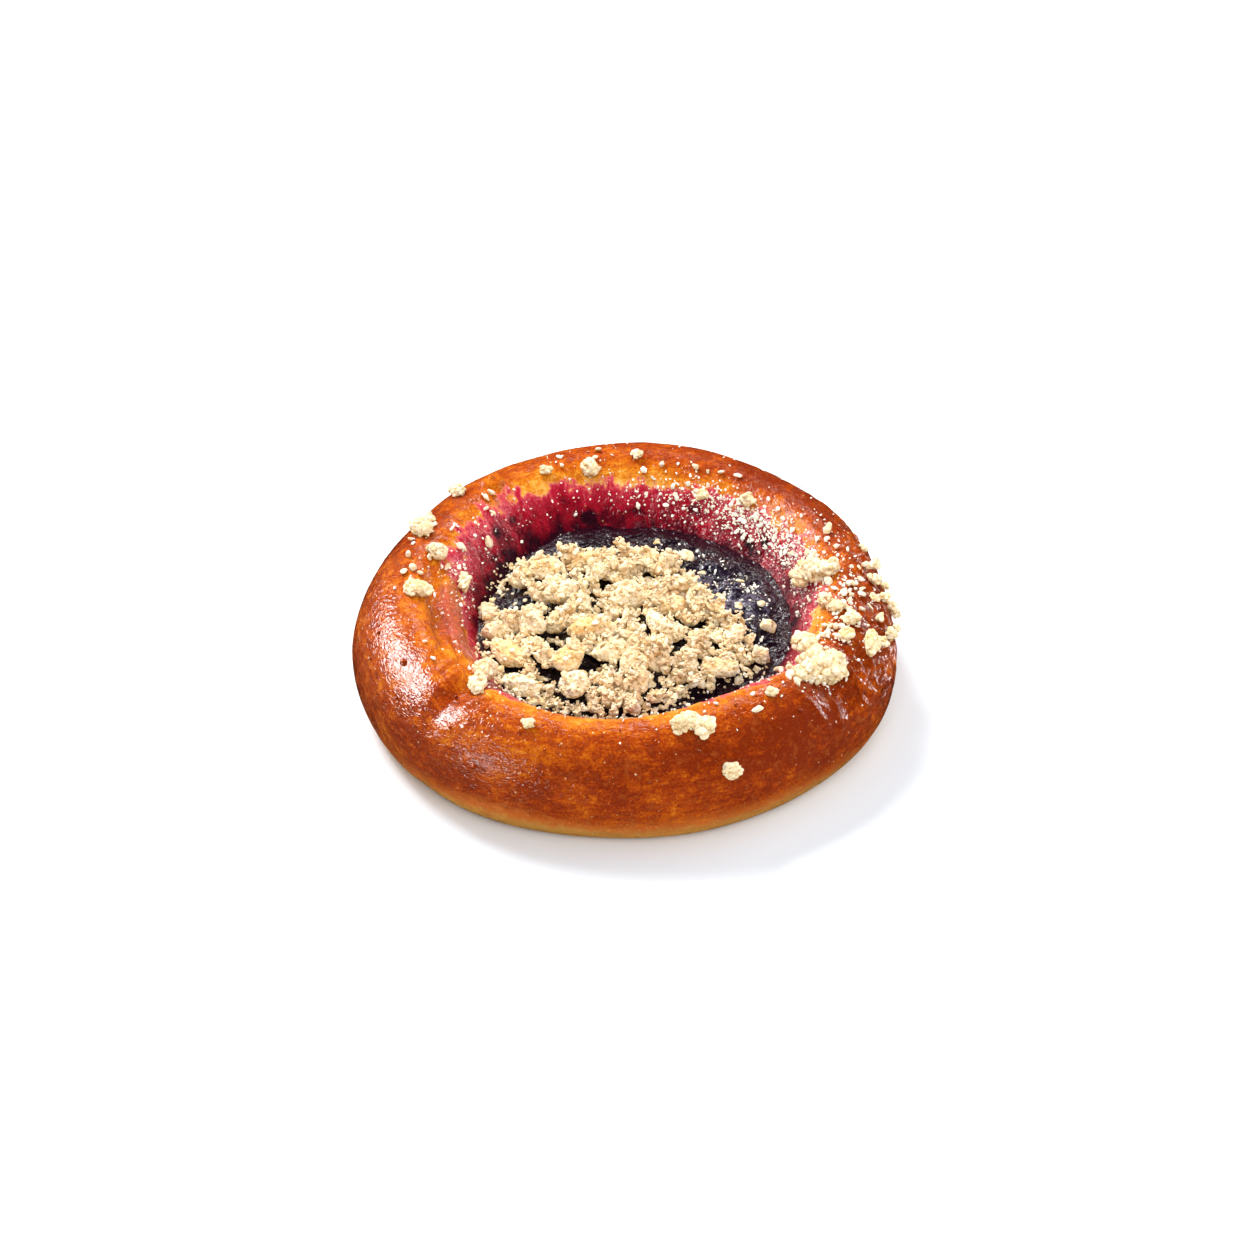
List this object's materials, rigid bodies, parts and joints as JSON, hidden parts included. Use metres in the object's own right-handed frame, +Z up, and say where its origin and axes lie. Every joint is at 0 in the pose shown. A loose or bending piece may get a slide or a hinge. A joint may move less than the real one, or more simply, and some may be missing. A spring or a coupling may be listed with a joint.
{
  "type": "kolache",
  "caption": "Round sweet yeast bun with a glossy ring crust round a well of dark berry filling, topped with crumbly streusel and a few loose clumps.",
  "frame": {"origin": "middle of the foot, on the surface the bun rests on", "axes": "+Z up through the bun, -Y towards the front that the picture shows, +X to the right of it"},
  "size_m": [0.1088, 0.107, 0.0284],
  "materials": {
    "crust": "glossy egg-washed golden brown crust, paler beside the well",
    "filling": "wet dark purple berry filling",
    "streusel": "matt cream crumb topping, lightly toasted"
  },
  "bodies": {
    "root": {"bun": "crust", "filling": "filling", "streusel_heap": "streusel", "streusel_clump_right": "streusel", "streusel_clump_back_right": "streusel", "streusel_clump_front": "streusel", "streusel_clump_left": "streusel"}
  },
  "joints": []
}
